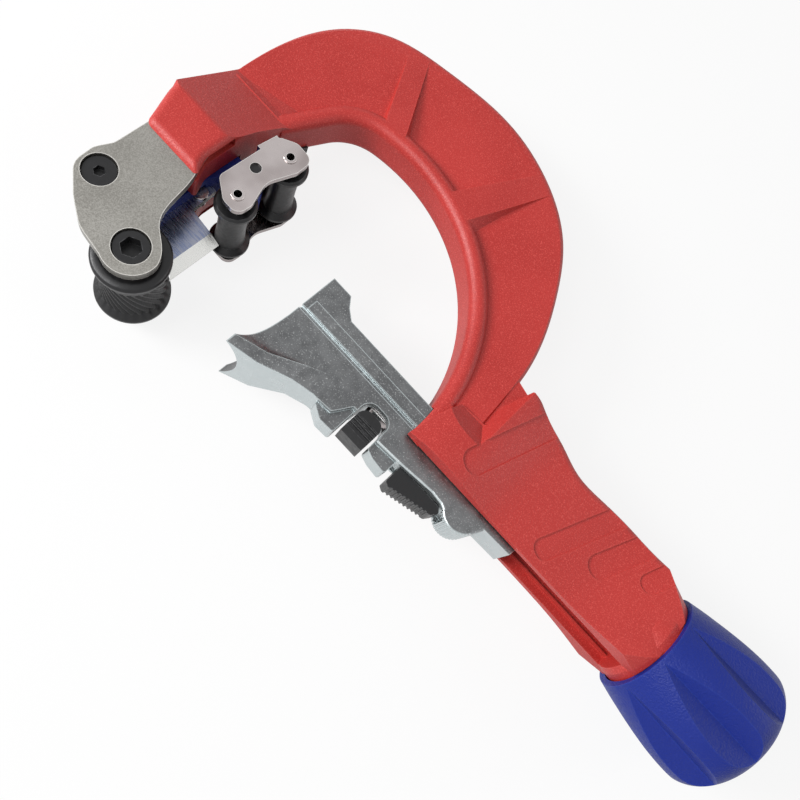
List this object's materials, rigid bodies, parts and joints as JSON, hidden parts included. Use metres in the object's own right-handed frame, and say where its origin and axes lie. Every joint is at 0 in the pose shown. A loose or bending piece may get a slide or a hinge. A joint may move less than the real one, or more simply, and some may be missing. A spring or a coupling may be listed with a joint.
{
  "type": "tube cutter",
  "caption": "Bow-shaped hand tube cutter with rollers and a blade in its head, a sliding trough carriage in the grip and a turning feed knob.",
  "frame": {"origin": "middle of the part's box", "axes": "+X along the grip from the head to the knob, +Y from the grip to the bow's back, +Z out of the face with the countersunk screws"},
  "size_m": [0.2154, 0.119, 0.0378],
  "materials": {
    "red_coat": "fine textured powder coat",
    "satin_steel": "satin",
    "bright_steel": "bright zinc plated",
    "black_steel": "black oxide, satin",
    "blue_gloss": "smooth moulded",
    "die_cast": "die cast, bright chromated",
    "bronze": "sintered"
  },
  "bodies": {
    "frame": {"frame_casting": "red_coat", "front_side_plate": "satin_steel", "rear_side_plate": "satin_steel", "plate_screw": "black_steel", "axle_screw": "black_steel", "rear_plate_screw": "black_steel", "axle_nut": "bright_steel", "front_washer": "bright_steel", "rear_washer": "bright_steel", "blade_holder": "blue_gloss", "blade": "satin_steel", "blade_pin": "bright_steel", "rocker_spring": "black_steel", "spring_rivet": "bright_steel"},
    "drive": {"drive_roller": "black_steel", "drive_bush": "bronze"},
    "rocker": {"rocker_bracket": "bright_steel", "lower_rivet": "bright_steel", "upper_rivet": "bright_steel", "rocker_pin": "black_steel"},
    "lower_wheel": {"lower_roller": "black_steel"},
    "upper_wheel": {"upper_roller": "black_steel"},
    "knob_group": {"knob": "blue_gloss", "knob_cap": "blue_gloss", "knob_screw": "bright_steel", "spindle": "bright_steel", "retaining_ring": "bright_steel", "thrust_washer": "bright_steel"},
    "feed": {"feed_bar": "bright_steel"},
    "carriage": {"carriage_casting": "die_cast", "lever_pin": "bright_steel", "lever_spring": "bright_steel"},
    "button": {"release_button": "black_steel"},
    "lever": {"release_lever": "bright_steel"},
    "slider": {"lock_slider": "black_steel"}
  },
  "joints": [
    {"name": "knob_turn", "type": "hinge", "parent": "frame", "child": "knob_group", "pos_m": [0.08266, -0.01718, 0], "axis": [1, 0, 0], "range_deg": [-1205, 725]},
    {"name": "feed_slide", "type": "slide", "parent": "frame", "child": "feed", "axis": [1, 0, 0], "range_m": [-0.005, 0.003]},
    {"name": "carriage_slide", "type": "slide", "parent": "feed", "child": "carriage", "axis": [1, 0, 0], "range_m": [-0.0135, 0.026]},
    {"name": "button_press", "type": "slide", "parent": "carriage", "child": "button", "axis": [0, 1, 0], "range_m": [0, 0.002], "stiffness_N_per_m": 400, "springref_m": -0.001},
    {"name": "lever_swing", "type": "hinge", "parent": "carriage", "child": "lever", "pos_m": [0.00466, -0.02678, 0], "axis": [0, 0, 1], "range_deg": [-5.8, 0], "deforming": ["lever_spring"]},
    {"name": "slider_slide", "type": "slide", "parent": "carriage", "child": "slider", "axis": [1, 0, 0], "range_m": [-0.0012, 0.0016]},
    {"name": "drive_spin", "type": "hinge", "parent": "frame", "child": "drive", "pos_m": [-0.08069, -0.05018, 0], "axis": [0, 0, 1], "continuous": true},
    {"name": "rocker_swing", "type": "hinge", "parent": "frame", "child": "rocker", "pos_m": [-0.07934, -0.01368, 0], "axis": [0, 0, 1], "range_deg": [-5, 5]},
    {"name": "lower_spin", "type": "hinge", "parent": "rocker", "child": "lower_wheel", "pos_m": [-0.07654, -0.02198, 0], "axis": [0, 0, 1], "continuous": true},
    {"name": "upper_spin", "type": "hinge", "parent": "rocker", "child": "upper_wheel", "pos_m": [-0.07654, -0.00478, 0], "axis": [0, 0, 1], "continuous": true}
  ],
  "couplings": [
    {"joint": "knob_turn", "follows": "feed_slide", "rad_per_m": 4188.8},
    {"joint": "lever_swing", "follows": "button_press", "rad_per_m": -50}
  ]
}
